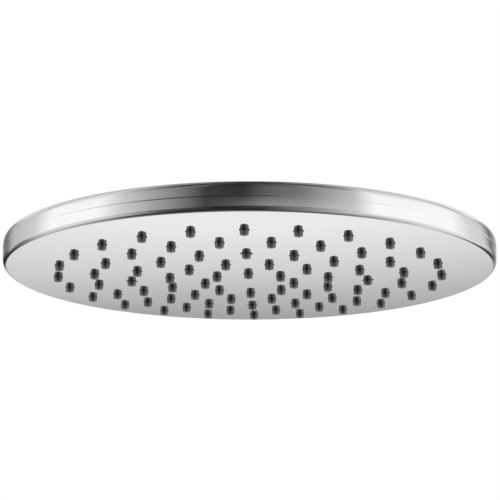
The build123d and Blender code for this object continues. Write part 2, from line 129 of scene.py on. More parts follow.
# The studio: white to the camera, and mirrored by metal as a white surround with soft dark cards.
# Levels of its walls and its floor go by degrees round from the camera,
# and those behind the head by degrees up.
WHITE = (1.0, 1.0, 1.0, 1.0)
LAMP_PLACE = (-0.6, -1.0, 1.1)
FULL_TURN = 360.0
HALF_TURN = 180.0
WALLS = (
    (-180, 0.4), (-152, 0.2), (-140, 0.5), (-116, 0.65), (-102, 1.0), (-72, 1.0), (-60, 0.65),
    (-45, 0.4), (-20, 0.05), (-3, 0.035), (8, 0.12), (24, 0.2), (48, 0.55), (58, 1.0), (105, 1.0),
    (120, 0.7), (135, 0.65), (149, 0.15), (163, 0.5),
)
FLOOR = (
    (-180, 0.45), (-125, 0.55), (-100, 0.75), (-72, 0.65), (-45, 0.1), (-15, 0.015), (8, 0.05),
    (36, 0.35), (58, 0.75), (110, 0.85), (180, 0.55),
)
BEHIND = (
    (-90, 0.02), (-70, 0.12), (-58, 0.14), (-44, 0.06), (-36, 0.3), (-30, 0.87), (-24, 0.87),
    (-9, 0.5), (-1, 0.38), (30, 0.65), (50, 0.1), (60, 0.04),
)

# The cards' soft edges, each from where it starts to where it is full, in degrees round or up,
# with the levels and the shifts in degrees that belong to them
RIGHT_HALF = (-20.0, 20.0)
BACK_ROUND = (160.0, 169.0)
LEAN_ROUND = (35.0, 55.0)
LEAN_UP = (15.0, 75.0)
LEAN_POWER = 3.0
LEAN_SHIFT = -60.0
SLANT_ROUND = (105.0, 130.0)
SLANT_UP = (10.7, 33.0)
SLANT_SHIFTS = (-3.0, 30.0)
UPPER_ROUND = (118.0, 135.0)
UPPER_UP = (19.0, 27.0)
UPPER_LEVELS = (0.85, 1.0)
DIM_UP = (13.0, 70.0)
DIM_LEVELS = (1.0, 0.5)
FILL_CENTRE = 20.0
FILL_ROUND = (45.0, 10.0)
FILL_FOOT = (1.0, 6.0)
FILL_TOP = (16.0, 8.0)
FILL_LEVEL = 0.14
CEILING_UP = (60.0, 86.0)
CEILING_LEVEL = 0.04
OUTER_ROUND = (118.0, 132.0)
OUTER_SHIFT = -20.0
TIP_ROUND = (138.0, 150.0)
TIP_UP = (18.0, 0.0)
STREAK_ROUND = (138.0, 158.0)
STREAK_UP = (2.0, -18.0)
STREAK_LEVELS = (0.16, 0.01)
FLOOR_UP = (-4.0, -26.0)
FLOOR_OUTER_SHIFT = 20.0
FLOOR_LEFT_SHIFT = -6.0
NADIR_ROUND = (115.0, 135.0)
NADIR_LEFT_UP = (-38.0, -60.0)
NADIR_RIGHT_UP = (-30.0, -88.0)
NADIR_FAR_UP = (-44.0, -60.0)
NADIR_BACK = (0.1, 0.34)  # not degrees, but how far a direction points to the back
NADIR_LEVELS = (0.02, 0.12)
GLOW_ROUND = (178.0, 171.0)
GLOW_FOOT = (-45.0, -28.0)
GLOW_TOP = (0.0, -8.0)
GLOW_SHARES = (0.3, 0.06)
GLOW_LEVEL = 0.85


def length(name, description, millimetres):
    """A length that a user may change."""
    size = millimetres * MM
    return FloatProperty(
        name=name, description=description, default=size, min=0.0, unit="LENGTH", subtype="DISTANCE"
    )


def count(name, description, number, least=1):
    """A number of like things that a user may change."""
    return IntProperty(name=name, description=description, default=number, min=least)


def tint(name, description, colour):
    """A colour that a user may change."""
    return FloatVectorProperty(
        name=name, description=description, default=colour, min=0.0, max=1.0, size=3, subtype="COLOR"
    )


def turn(name, description, angle):
    """An angle that a user may change."""
    return FloatProperty(
        name=name, description=description, default=radians(angle), unit="ROTATION", subtype="ANGLE"
    )


class ShellSizes(bpy.types.PropertyGroup):
    """Sizes of the two shells."""

    rim_height: length("Rim height", "Height of the rim", 11.3)
    rim_wall: length("Rim wall", "Wall of the rim", 2.4)
    rim_crown: length("Rim crown", "How far the rim's wall falls back towards its edges", 0.2)
    low_round: length("Low round", "Rounding of the rim's lower edge", 2.0)
    top_round: length("Top round", "Rounding of the rim's top edge", 3.2)
    seam_rise: length("Seam rise", "From the rim's lower edge to the joint of the shells", 5.05)
    seam_gap: length("Seam gap", "Width of the fine groove where the shells meet", 0.03)
    seam_depth: length("Seam depth", "Depth of the fine groove where the shells meet", 0.2)
    seam_slope: length("Seam slope", "Height of the groove's sloping upper lip", 0.5)
    face_wall: length("Face wall", "Thickness of the dished face", 2.0)
    shell_wall: length("Top wall", "Thickness of the domed top", 2.2)
    land_margin: length("Land margin", "Width of the flat land around the collar", 1.5)
    hub_gap: length("Hub gap", "Clearance between the hub and the socket", 0.3)
    hub_margin: length("Hub margin", "How far the hub is wider than the socket's flange", 1.6)
    skirt_margin: length("Skirt margin", "Between the nozzle mat and the skirt", 1.0)
    skirt_wall: length("Skirt wall", "Wall of the skirt around the water chamber", 2.2)
    seal_thickness: length("Seal thickness", "Thickness of the seal under the skirt", 2.0)
    tongue_wall: length("Tongue wall", "Wall of the ring around the skirt", 1.8)
    tongue_height: length("Tongue height", "Height of the ring around the skirt", 4.5)
    rib_thickness: length("Rib thickness", "Thickness of a rib under the top", 1.8)
    rib_depth: length("Rib depth", "Depth of a rib under the top", 3.2)
    rib_count: count("Ribs", "Ribs under the top", 8)
    boss_margin: length("Boss margin", "How far a boss of the top is wider than a boss of the face", 1.6)


class NozzleSizes(bpy.types.PropertyGroup):
    """Sizes and counts of the nozzles, the plugs and their holes."""

    ring_count: count("Rings", "Rings of nozzles", 5, 2)
    first_count: count("First ring", "Nozzles in the first ring", 8, 4)
    count_step: count("Step", "More nozzles in each further ring", 4, 0)
    plug_ring: count("Plug ring", "Ring whose four axis places are plugs", 2, 0)
    plug_count: count("Plugs", "Plugs over the face screws", 4)
    first_radius: length("First radius", "Radius of the first ring", 18.0)
    outer_margin: length("Outer margin", "From the outer ring to the mat's edge", 6.0)
    stem_radius: length("Stem radius", "Radius of a nozzle where it leaves the face", 1.75)
    tip_radius: length("Tip radius", "Radius of a nozzle's end", 1.65)
    tip_round: length("Tip round", "Softening of a nozzle's end", 0.45)
    orifice_radius: length("Orifice radius", "Radius of a nozzle's outlet", 0.6)
    orifice_depth: length("Orifice depth", "Depth of a nozzle's outlet", 3.4)
    mat_thickness: length("Mat thickness", "Thickness of the silicone sheet", 1.2)
    hole_radius: length("Hole radius", "Radius of the face's holes", 2.0)
    hole_edge: length("Hole edge", "Softening of the holes' edges", 0.12)
    plug_recess: length("Plug recess", "How far a plug's shoulder lies inside the face", 0.6)
    plug_gap: length("Plug gap", "Clearance around a plug's shoulder", 0.12)
    boss_gap: length("Boss gap", "Clearance between the mat and a screw's boss", 0.3)


class SwivelSizes(bpy.types.PropertyGroup):
    """Sizes of the ball nipple, the collar and the filter."""

    neck_wall: length("Neck wall", "Wall of the threaded neck", 3.4)
    mouth_chamfer: length("Mouth chamfer", "Chamfer around the inlet's mouth", 0.6)
    flat_depth: length("Flat depth", "Depth of the two spanner flats", 0.75)
    flat_height: length("Flat height", "Height of the two spanner flats", 3.6)
    thread_pitch: length("Thread pitch", "Pitch of the inlet's thread", 1.814)
    thread_depth: length("Thread depth", "Depth of the inlet's thread", 1.1)
    outlet_radius: length("Outlet radius", "Radius of the ball's outlet", 6.0)
    washer_gap: length("Washer gap", "Clearance around the washer", 0.1)
    seal_gap: length("Seal gap", "Clearance around the ball's seal", 0.05)
    lip_gap: length("Lip gap", "Clearance between the collar's lip and the ball", 0.3)
    collar_wall: length("Collar wall", "Wall of the collar", 4.0)
    collar_round: length("Collar round", "Rounding of the collar's top", 1.4)
    collar_chamfer: length("Collar chamfer", "Chamfer of the collar's foot", 0.5)
    flute_count: count("Flutes", "Flutes of the collar's grip", 36, 3)
    flute_depth: length("Flute depth", "Depth of a flute", 0.45)
    flute_plain: FloatProperty(
        name="Plain share", description="Share of the grip between two flutes", default=0.6, min=0.0, max=0.95
    )
    hoop_width: length("Hoop width", "Width of the filter's hoop", 1.2)
    wire_count: count("Wires", "Wires across the filter", 17, 3)


class Finishes(bpy.types.PropertyGroup):
    """Colours of the finishes and of the floor."""

    polished_chrome: tint("Polished chrome", "Colour of the plated shells and fittings", (0.95, 0.953, 0.957))
    dark_silicone: tint("Dark silicone", "Colour of the nozzles and plugs", (0.075, 0.075, 0.077))
    seal_rubber: tint("Seal rubber", "Colour of the seals", (0.03, 0.03, 0.03))
    stainless_steel: tint("Stainless steel", "Colour of the screws and the filter", (0.62, 0.62, 0.6))
    white_plastic: tint("White plastic", "Colour of the slip ring and the regulator", (0.8, 0.8, 0.78))
    grey_plastic: tint("Grey plastic", "Colour of the pressure plate", (0.3, 0.31, 0.32))
    brass: tint("Brass", "Colour of the swivel socket", (0.75, 0.58, 0.28))
    floor: tint("Floor", "Colour of the floor", (0.92, 0.92, 0.92))


class Studio(bpy.types.PropertyGroup):
    """Camera, floor and light."""

    distance: length("Camera distance", "From the camera to the face", 907.0)
    drop: turn("Camera drop", "How far the camera looks up at the face", 12.68)
    swing: turn("Camera swing", "Turn of the camera about the head's axis", 1.474)
    lens: FloatProperty(name="Lens", description="Focal length", default=160.6, unit="CAMERA")
    roll: turn("Camera roll", "Turn of the camera about its own line of sight", 0.04)
    shift_x: FloatProperty(name="Shift X", description="Shift of the frame to the right", default=0.0008)
    shift_y: FloatProperty(name="Shift Y", description="Shift of the frame upwards", default=0.0517)
    floor_drop: length("Floor drop", "How far the floor lies below the inlet", 1500.0)
    floor_radius: length("Floor radius", "Radius of the floor", 9000.0)
    plain_level: FloatProperty(name="Plain level", description="Even light from all around", default=0.8)
    lamp_size: length("Lamp size", "Side of the square lamp", 1200.0)
    lamp_power: FloatProperty(name="Lamp power", description="Power of the lamp", default=7.0, unit="POWER")


GROUPS = {
    "shell_sizes": ShellSizes,
    "nozzle_sizes": NozzleSizes,
    "swivel_sizes": SwivelSizes,
    "finishes": Finishes,
    "studio": Studio,
}


# Curves of the head


def spaced(start, end, steps):
    """Evenly spaced values from start to end."""
    return [start + (end - start) * step / steps for step in range(steps + 1)]


def rounded(before, corner, after, steps):
    """Points of a soft corner between two points of a profile."""
    points = []
    for share in spaced(0.0, 1.0, steps):
        weights = ((1 - share) ** 2, 2 * share * (1 - share), share**2)
        ends = zip(before, corner, after)
        points.append(tuple(sum(w * part for w, part in zip(weights, parts)) for parts in ends))
    return points


def on_ball(radius, angle):
    """A profile's point about the ball's centre, at an angle from straight down."""
    return radius * sin(angle), swivel_z - radius * cos(angle)


class HeadCurves:
    """Curves of the two shells, from the frame's boxes and the shells' sizes."""

    def __init__(self, sizes):
        self.sizes = sizes
        self.radius = face_high.x
        self.cavity = self.radius - sizes.rim_wall
        self.seam_z = face_high.z
        self.face_edge_z = self.seam_z - sizes.seam_rise
        self.top_edge_z = self.face_edge_z + sizes.rim_height
        sag = self.face_edge_z - face_low.z
        self.face_sphere = (self.radius**2 + sag**2) / (2 * sag)
        self.face_centre_z = face_low.z + self.face_sphere
        self.land_radius = collar_high.x + sizes.land_margin
        rise = top_high.z - self.top_edge_z
        chord = (self.radius**2 - self.land_radius**2) / (2 * rise)
        self.dome_centre_z = (top_high.z + self.top_edge_z) / 2 - chord
        self.dome_sphere = sqrt(self.land_radius**2 + (top_high.z - self.dome_centre_z) ** 2)

    def face(self, depth, radius):
        """A profile's point on the dished surface that lies depth inside the face."""
        return radius, self.face_centre_z - sqrt((self.face_sphere - depth) ** 2 - radius**2)

    def dome(self, depth, radius):
        """A profile's point on the domed surface that lies depth inside the top."""
        return radius, self.dome_centre_z + sqrt((self.dome_sphere - depth) ** 2 - radius**2)

    def wall(self, height):
        """The rim's radius at a height, and the wall's lean there, which grows towards its edges."""
        share = (height - (self.face_edge_z + self.top_edge_z) / 2) / self.sizes.rim_height
        crown = 4 * self.sizes.rim_crown
        return self.radius - crown * share**2, atan(2 * crown * share / self.sizes.rim_height)

    def rounding(self, level, edge, join):
        """Centre of the arc from the rim's wall to the face or the dome, and the arc's end on the wall."""
        for _ in range(ROUNDING_TRIES):
            radius, lean = self.wall(join)
            centre = level(edge, radius - edge * cos(lean))
            join = centre[1] + edge * sin(lean)
        return centre, lean, join

    def low_rim(self, steps):
        """The rim's lower half: from the face, round the lower edge and up to the joint of the shells."""
        edge = self.sizes.low_round
        centre, lean, join = self.rounding(self.face, edge, self.face_edge_z + edge)
        start = -acos(centre[0] / (self.face_sphere - edge))
        arc = [(centre[0] + edge * cos(a), centre[1] + edge * sin(a)) for a in spaced(start, lean, steps)]
        return arc + [(self.wall(z)[0], z) for z in spaced(join, self.seam_z, steps)][1:]

    def top_rim(self, start_z, steps):
        """The rim's upper half: from the joint of the shells, up and round the top edge to the dome."""
        edge = self.sizes.top_round
        centre, lean, join = self.rounding(self.dome, edge, self.top_edge_z - edge)
        end = acos(centre[0] / (self.dome_sphere - edge))
        arc = [(centre[0] + edge * cos(a), centre[1] + edge * sin(a)) for a in spaced(lean, end, steps)]
        return [(self.wall(z)[0], z) for z in spaced(start_z, join, steps)] + arc[1:]


def ring_radii(sizes):
    """Radii of the rings of nozzles."""
    return spaced(sizes.first_radius, mat_high.x - sizes.outer_margin, sizes.ring_count - 1)


def ring_places(sizes):
    """Places of the nozzles and of the plugs; every second ring is turned by half a step."""
    nozzles, plugs = [], []
    for ring, radius in enumerate(ring_radii(sizes)):
        count = sizes.first_count + ring * sizes.count_step
        for place in range(count):
            angle = tau * (place + ring % 2 / 2) / count
            plugged = ring == sizes.plug_ring and place % (count // sizes.plug_count) == 0
            (plugs if plugged else nozzles).append((radius * cos(angle), radius * sin(angle)))
    return nozzles, plugs


# Mesh helpers


def revolved(bm, profile, steps, closed=True, centre=(0.0, 0.0)):
    """Turns a profile of (radius, height) points about an upright axis; radius 0 is a pole."""
    rings = []
    for radius, height in profile:
        angles = [tau * step / steps for step in range(steps)] if radius > 0 else [0.0]
        places = [(centre[0] + radius * cos(a), centre[1] + radius * sin(a), height) for a in angles]
        rings.append([bm.verts.new(place) for place in places])
    followers = rings[1:] + rings[:1] if closed else rings[1:]
    for ring, follower in zip(rings, followers):
        for step in range(steps):
            after = (step + 1) % steps
            corners = [ring[step % len(ring)], ring[after % len(ring)]]
            corners += [follower[after % len(follower)], follower[step % len(follower)]]
            corners = list(dict.fromkeys(corners))
            if len(corners) > 2:
                bm.faces.new(corners)


def plate(bm, outline, thickness, angle):
    """A flat plate that stands on the axis's side, from an outline of (radius, height) points."""
    along = Vector((cos(angle), sin(angle), 0.0))
    across = Vector((-sin(angle), cos(angle), 0.0))
    up = Vector((0.0, 0.0, 1.0))
    sides = []
    for offset in (-thickness / 2, thickness / 2):
        sides.append([bm.verts.new(r * along + offset * across + z * up) for r, z in outline])
    bm.faces.new(sides[0])
    bm.faces.new(sides[1])
    for corner in range(len(outline)):
        after = (corner + 1) % len(outline)
        bm.faces.new([sides[0][corner], sides[0][after], sides[1][after], sides[1][corner]])


def circle(x, y, radius, steps):
    """Points of a circle, seen from above."""
    angles = [tau * step / steps for step in range(steps)]
    return [(x + radius * cos(angle), y + radius * sin(angle)) for angle in angles]


def perforated(radius, steps, holes):
    """Points and triangles of a flat disc with round holes, each hole given as (x, y, radius)."""
    loops = [circle(0.0, 0.0, radius, steps)] + [circle(*hole, HOLE_STEPS) for hole in holes]
    points, edges = [], []
    for loop in loops:
        first = len(points)
        points += loop
        edges += [(first + step, first + (step + 1) % len(loop)) for step in range(len(loop))]
    row_spacing = SHEET_SPACING * ROW_SHARE
    rows = int(radius / row_spacing)
    for row in range(-rows, rows + 1):
        for column in range(-2 * rows, 2 * rows + 1):
            x = SHEET_SPACING * (column + row % 2 / 2)
            y = row_spacing * row
            clear = all(hypot(x - hx, y - hy) > hr + SHEET_MARGIN for hx, hy, hr in holes)
            if clear and hypot(x, y) < radius - SHEET_MARGIN:
                points.append((x, y))
    made = delaunay_2d_cdt([Vector(point) for point in points], edges, [], 0, MERGE, False)
    places, triangles = [tuple(place) for place in made[0]], []
    for triangle in made[2]:
        x = sum(places[corner][0] for corner in triangle) / 3
        y = sum(places[corner][1] for corner in triangle) / 3
        if all(hypot(x - hx, y - hy) > hr for hx, hy, hr in holes):
            triangles.append(triangle)
    return places, triangles


def dished_sheet(bm, level, depths, radius, steps, holes, hole_edge):
    """The two sides of a dished sheet with round holes, and the holes' walls, with softened edges."""
    wide = [(x, y, hole + hole_edge) for x, y, hole in holes]
    places, triangles = perforated(radius, steps, wide)
    for depth in depths:
        corners = [bm.verts.new((x, y, level(depth, hypot(x, y))[1])) for x, y in places]
        for triangle in triangles:
            bm.faces.new([corners[corner] for corner in triangle])
    upper, lower = depths
    inwards = ((hole_edge, upper), (0.0, upper + hole_edge), (0.0, lower - hole_edge), (hole_edge, lower))
    for x, y, hole in holes:
        rings = []
        for wider, depth in inwards:
            ring = circle(x, y, hole + wider, HOLE_STEPS)
            rings.append([bm.verts.new((px, py, level(depth, hypot(px, py))[1])) for px, py in ring])
        for ring, follower in zip(rings, rings[1:]):
            for step in range(HOLE_STEPS):
                after = (step + 1) % HOLE_STEPS
                bm.faces.new([ring[step], ring[after], follower[after], follower[step]])


def piece_from(bm, name, slot=None):
    """Turns a bmesh into an object with outward faces, smooth but for its real edges."""
    bmesh.ops.remove_doubles(bm, verts=bm.verts, dist=MERGE)
    bmesh.ops.recalc_face_normals(bm, faces=bm.faces)
    mesh = bpy.data.meshes.new(name)
    bm.to_mesh(mesh)
    bm.free()
    mesh.shade_smooth()
    mesh.set_sharp_from_angle(angle=SHARP)
    if slot:
        mesh.materials.append(finish_of(slot))
    piece = bpy.data.objects.new(name, mesh)
    bpy.context.scene.collection.objects.link(piece)
    return piece


def settle(piece, body, slot, *nodes):
    """Puts a finished piece on its body, in place of its nodes."""
    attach(piece, body)
    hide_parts(*nodes)


# Node helpers, for shader and geometry trees alike


class Field:
    """What a node gives out; arithmetic on it adds Math nodes to its tree."""

    def __init__(self, tree, socket):
        self.tree = tree
        self.socket = socket

    def math(self, operation, *others):
        """A Math node's result, with this value first."""
        return field(self.tree, "ShaderNodeMath", dict(enumerate((self, *others))), operation=operation)

    def __add__(self, other):
        return self.math("ADD", other)

    def __sub__(self, other):
        return self.math("SUBTRACT", other)

    def __rsub__(self, other):
        return field(self.tree, "ShaderNodeMath", {0: other, 1: self}, operation="SUBTRACT")

    def __mul__(self, other):
        return self.math("MULTIPLY", other)

    def __truediv__(self, other):
        return self.math("DIVIDE", other)

    def __mod__(self, other):
        return self.math("MODULO", other)

    def __pow__(self, other):
        return self.math("POWER", other)

    def __abs__(self):
        return self.math("ABSOLUTE")

    def over(self, span, levels=(0.0, 1.0), smooth=True):
        """This value carried from a span to two levels, and held between them."""
        inputs = dict(enumerate((self, *span, *levels)))
        kind = "SMOOTHSTEP" if smooth else "LINEAR"
        return field(self.tree, "ShaderNodeMapRange", inputs, interpolation_type=kind)

    def blend(self, first, second):
        """The first value, or more of the second as this share grows."""
        return field(self.tree, "ShaderNodeMix", {0: self, 2: first, 3: second}, data_type="FLOAT")

    def feed(self, socket):
        """Leads this value into a node's input."""
        self.tree.links.new(self.socket, socket)


def add_node(tree, kind, inputs=None, **settings):
    """One node; inputs are values or fields, by the socket's name or place."""
    made = tree.nodes.new(kind)
    for name, value in settings.items():
        setattr(made, name, value)
    for key, value in (inputs or {}).items():
        if isinstance(value, Field):
            value.feed(made.inputs[key])
        else:
            made.inputs[key].default_value = value
    return made


def field(tree, kind, inputs=None, output=0, **settings):
    """One output of a new node."""
    return Field(tree, add_node(tree, kind, inputs, **settings).outputs[output])


def split(place):
    """The three parts of a vector."""
    made = add_node(place.tree, "ShaderNodeSeparateXYZ", {0: place})
    return [Field(place.tree, socket) for socket in made.outputs]


def vector(tree, x=0.0, y=0.0, z=0.0):
    """A vector from its three parts."""
    return field(tree, "ShaderNodeCombineXYZ", {0: x, 1: y, 2: z})


def from_axis(x, y):
    """Distance from the upright axis."""
    return (x * x + y * y).math("SQRT")


def level_at(angle, stops, whole):
    """A level read from stops in degrees about 0, with straight runs between them."""
    made = add_node(angle.tree, "ShaderNodeValToRGB", {0: angle / whole + 0.5})
    elements = made.color_ramp.elements
    while len(elements) < len(stops):
        elements.new(1.0)
    for element, (place, level) in zip(elements, stops):
        element.position = place / whole + 0.5
        element.color = (level, level, level, 1.0)
    return Field(angle.tree, made.outputs[0])


# Geometry trees


def geometry_tree(name, floats, wholes=(), objects=()):
    """An empty geometry tree with named inputs for its sizes, and those inputs."""
    tree = bpy.data.node_groups.new(name, "GeometryNodeTree")
    tree.interface.new_socket("Geometry", in_out="OUTPUT", socket_type="NodeSocketGeometry")
    labels = {"Geometry": ("Geometry",), "Float": floats, "Int": wholes, "Object": objects}
    labels["Material"] = ("Material",)
    for kind, names in labels.items():
        for label in names:
            tree.interface.new_socket(label, in_out="INPUT", socket_type=f"NodeSocket{kind}")
    given = tree.nodes.new("NodeGroupInput").outputs
    return tree, {socket.name: Field(tree, socket) for socket in given}


def joined(tree, *parts):
    """Several geometries as one."""
    made = tree.nodes.new("GeometryNodeJoinGeometry")
    for part in parts:
        part.feed(made.inputs[0])
    return Field(tree, made.outputs[0])


def end_tree(tree, geometry, material):
    """Realizes what the tree made, gives it its material and hands it out."""
    real = field(tree, "GeometryNodeRealizeInstances", {"Geometry": geometry})
    painted = field(tree, "GeometryNodeSetMaterial", {"Geometry": real, "Material": material})
    add_node(tree, "NodeGroupOutput", {"Geometry": painted})
    return tree


def grow(piece, tree, values):
    """Runs a geometry tree on a piece, and keeps the result as the piece's own mesh."""
    modifier = piece.modifiers.new(tree.name, "NODES")
    modifier.node_group = tree
    for socket in tree.interface.items_tree:
        if socket.in_out == "INPUT" and socket.name in values:
            modifier[socket.identifier] = values[socket.name]
    graph = bpy.context.evaluated_depsgraph_get()
    mesh = bpy.data.meshes.new_from_object(piece.evaluated_get(graph), depsgraph=graph)
    mesh.name = piece.name
    piece.modifiers.remove(modifier)
    piece.data = mesh


def ring_tree():
    """Rings of like pieces on a dished surface, each ring with more of them, joined to what carries them."""
    floats = ("First Radius", "Pitch", "Sphere", "Centre Height")
    wholes = ("Rings", "First Count", "Count Step", "Free Ring", "Free Count")
    tree, given = geometry_tree("Nozzle rings", floats, wholes, ("Piece",))
    start = tree.nodes.new("GeometryNodeRepeatInput")
    end = tree.nodes.new("GeometryNodeRepeatOutput")
    start.pair_with_output(end)
    given["Rings"].feed(start.inputs["Iterations"])
    ring = Field(tree, start.outputs["Iteration"])
    places = ring * given["Count Step"] + given["First Count"]
    radius = ring * given["Pitch"] + given["First Radius"]
    loop = field(tree, "GeometryNodeMeshCircle", {"Vertices": places, "Radius": radius})
    past_axis = field(tree, "GeometryNodeInputIndex") % (places / given["Free Count"])
    free = past_axis.math("COMPARE", 0.0, 0.5) * ring.math("COMPARE", given["Free Ring"], 0.5)
    loop = field(tree, "GeometryNodeDeleteGeometry", {"Geometry": loop, "Selection": free})
    half_step = vector(tree, z=ring % 2.0 * (tau / 2) / places)
    loop = field(tree, "GeometryNodeTransform", {"Geometry": loop, "Rotation": half_step})
    rise = (given["Sphere"] ** 2.0 - radius**2.0).math("SQRT")
    lift = vector(tree, z=given["Centre Height"] - rise)
    loop = field(tree, "GeometryNodeSetPosition", {"Geometry": loop, "Offset": lift})
    joined(tree, loop, Field(tree, start.outputs["Geometry"])).feed(end.inputs["Geometry"])
    form = field(tree, "GeometryNodeObjectInfo", {"Object": given["Piece"]}, "Geometry")
    points = Field(tree, end.outputs["Geometry"])
    copies = field(tree, "GeometryNodeInstanceOnPoints", {"Points": points, "Instance": form})
    return end_tree(tree, joined(tree, given["Geometry"], copies), given["Material"])


def groove_tree():
    """Grooves in a turned surface: upright flutes, or the turns of a thread."""
    limits = ("Inner Radius", "Outer Radius", "Low", "High", "Fade")
    tree, given = geometry_tree("Grooves", ("Around", "Turns per Metre", "Depth", "Plain Share", *limits))
    x, y, z = split(field(tree, "GeometryNodeInputPosition"))
    radius = from_axis(x, y)
    turned = y.math("ARCTAN2", x) / tau
    phase = (turned * given["Around"] + z * given["Turns per Metre"]).math("FRACT")
    groove = (abs(phase - 0.5) * 2.0).over((given["Plain Share"], 1.0))
    rising = z.over((given["Low"], given["Low"] + given["Fade"]))
    falling = 1.0 - z.over((given["High"] - given["Fade"], given["High"]))
    wide = radius.math("GREATER_THAN", given["Inner Radius"])
    narrow = radius.math("LESS_THAN", given["Outer Radius"])
    outwards = given["Depth"] * groove * rising * falling * wide * narrow / radius
    moved = {"Geometry": given["Geometry"], "Offset": vector(tree, x * outwards, y * outwards)}
    return end_tree(tree, field(tree, "GeometryNodeSetPosition", moved), given["Material"])


def weave_tree():
    """A round of woven wire, joined to the hoop that carries it."""
    tree, given = geometry_tree("Woven wire", ("Radius", "Wire Radius", "Height"), ("Wires",))
    width = given["Radius"] * 2.0
    gaps = given["Wires"] - 1.0
    fine = gaps * WIRE_STEPS + 1.0
    grid = {"Size X": width, "Size Y": width, "Vertices X": fine, "Vertices Y": given["Wires"]}
    rows = field(tree, "GeometryNodeMeshGrid", grid, "Mesh")
    x, y, _ = split(field(tree, "GeometryNodeInputPosition"))
    swing = (((x + y) / width * gaps + gaps) * (tau / 2)).math("COSINE")
    lift = vector(tree, z=swing * given["Wire Radius"])
    rows = field(tree, "GeometryNodeSetPosition", {"Geometry": rows, "Offset": lift})
    outside = from_axis(x, y).math("GREATER_THAN", given["Radius"])
    rows = field(tree, "GeometryNodeDeleteGeometry", {"Geometry": rows, "Selection": outside})
    ends = add_node(tree, "GeometryNodeInputMeshEdgeVertices").outputs
    first_y, second_y = (split(Field(tree, ends[f"Position {end}"]))[1] for end in (1, 2))
    along = first_y.math("COMPARE", second_y, MERGE)
    lines = field(tree, "GeometryNodeMeshToCurve", {"Mesh": rows, "Selection": along})
    section = {"Resolution": WIRE_SIDES, "Radius": given["Wire Radius"]}
    round_wire = field(tree, "GeometryNodeCurvePrimitiveCircle", section)
    wires = {"Curve": lines, "Profile Curve": round_wire, "Fill Caps": True}
    warp = field(tree, "GeometryNodeCurveToMesh", wires)
    weft = field(tree, "GeometryNodeTransform", {"Geometry": warp, "Rotation": (tau / 2, 0.0, tau / 4)})
    raised = {"Geometry": joined(tree, warp, weft), "Translation": vector(tree, z=given["Height"])}
    woven = field(tree, "GeometryNodeTransform", raised)
    return end_tree(tree, joined(tree, given["Geometry"], woven), given["Material"])


# Finishes


def new_finish(name, colour, metallic):
    """A material's Principled shader, and the object's own coordinates."""
    material = bpy.data.materials.new(name)
    material.use_nodes = True
    tree = material.node_tree
    shader = tree.nodes["Principled BSDF"]
    shader.inputs["Metallic"].default_value = metallic
    shader.inputs["Base Color"].default_value = (*colour, 1.0)
    return shader, field(tree, "ShaderNodeTexCoord", output="Object")


def vary(shader, pattern, colour, darker, roughness):
    """Lets a pattern darken the colour and move the roughness."""
    shade = tuple(part * darker for part in colour)
    shades = {0: pattern, 6: (*colour, 1.0), 7: (*shade, 1.0)}
    field(pattern.tree, "ShaderNodeMix", shades, 2, data_type="RGBA").feed(shader.inputs["Base Color"])
    pattern.over(PATTERN_SPAN, roughness).feed(shader.inputs["Roughness"])


def emboss(shader, pattern, distance):
    """Lets a pattern stand up by a distance."""
    raised = {"Strength": 1.0, "Distance": distance, "Height": pattern}
    field(pattern.tree, "ShaderNodeBump", raised).feed(shader.inputs["Normal"])


def noise(place, scale):
    """An even, cloudy pattern."""
    inputs = {"Vector": place, "Scale": scale, "Detail": NOISE_DETAIL}
    return field(place.tree, "ShaderNodeTexNoise", inputs, "Fac")


def turned_metal(name, colour, darker, roughness, line_scale, line_height):
    """Metal with fine lines round the axis, as turning and polishing leave them."""
    shader, place = new_finish(name, colour, 1.0)
    x, y, z = split(place)
    around = y.math("ARCTAN2", x) * TURN_STRETCH
    lines = noise(vector(place.tree, from_axis(x, y), z, around), line_scale)
    vary(shader, lines, colour, darker, roughness)
    emboss(shader, lines, line_height)


def silicone_with_painted_shade(name, colour, darker, roughness, grain_scale, grain_height):
    """Glossy silicone with painted shade: dark at the face, where the nozzles leave it, and paler towards the
    nozzles' tips.
    """
    shader, place = new_finish(name, colour, 0.0)
    shader.inputs["IOR"].default_value = SILICONE_IOR
    x, y, z = split(place)
    sphere = HeadCurves(bpy.context.scene.shell_sizes).face_sphere
    face = (x * x + y * y) * (0.5 / sphere) + face_low.z
    # Painted shade: the silicone is darkened close to the face, where the nozzles leave it, and lightens towards
    # the tips
    painted_face_shade = (face - z).over(PAINTED_SHADE_SPAN, (1.0, 0.0))
    grain = noise(place, grain_scale)
    vary(shader, painted_face_shade.math("MAXIMUM", grain * GRAIN_SHARE), colour, darker, roughness)
    emboss(shader, grain, grain_height)


def moulded(name, colour, darker, roughness, grain_scale, grain_height):
    """Plastic or rubber with a moulded grain."""
    shader, place = new_finish(name, colour, 0.0)
    grain = noise(place, grain_scale)
    vary(shader, grain, colour, darker, roughness)
    emboss(shader, grain, grain_height)


# Each slot's maker, how dark its pattern gets, its least and most roughness,
# and its pattern's scale and height
FINISHES = {
    "polished_chrome": (turned_metal, 0.97, (0.03, 0.06), 700.0, 2e-7),
    # The silicone's darker shade is painted shade near the face, mixed with its grain
    "dark_silicone": (silicone_with_painted_shade, 0.12, (0.22, 0.28), 1500.0, 4e-6),
    "seal_rubber": (moulded, 0.8, (0.55, 0.7), 2500.0, 1e-5),
    "stainless_steel": (turned_metal, 0.97, (0.22, 0.34), 2500.0, 4e-6),
    "white_plastic": (moulded, 0.8, (0.35, 0.45), 1800.0, 4e-6),
    "grey_plastic": (moulded, 0.8, (0.4, 0.55), 1500.0, 6e-6),
    "brass": (turned_metal, 0.97, (0.18, 0.3), 1800.0, 3e-6),
}


def finish_name(slot):
    """A finish's name, from its slot's."""
    return slot.replace("_", " ").capitalize()


def finish_of(slot):
    """The finish that was made for a slot."""
    return bpy.data.materials[finish_name(slot)]


# The mirrored studio


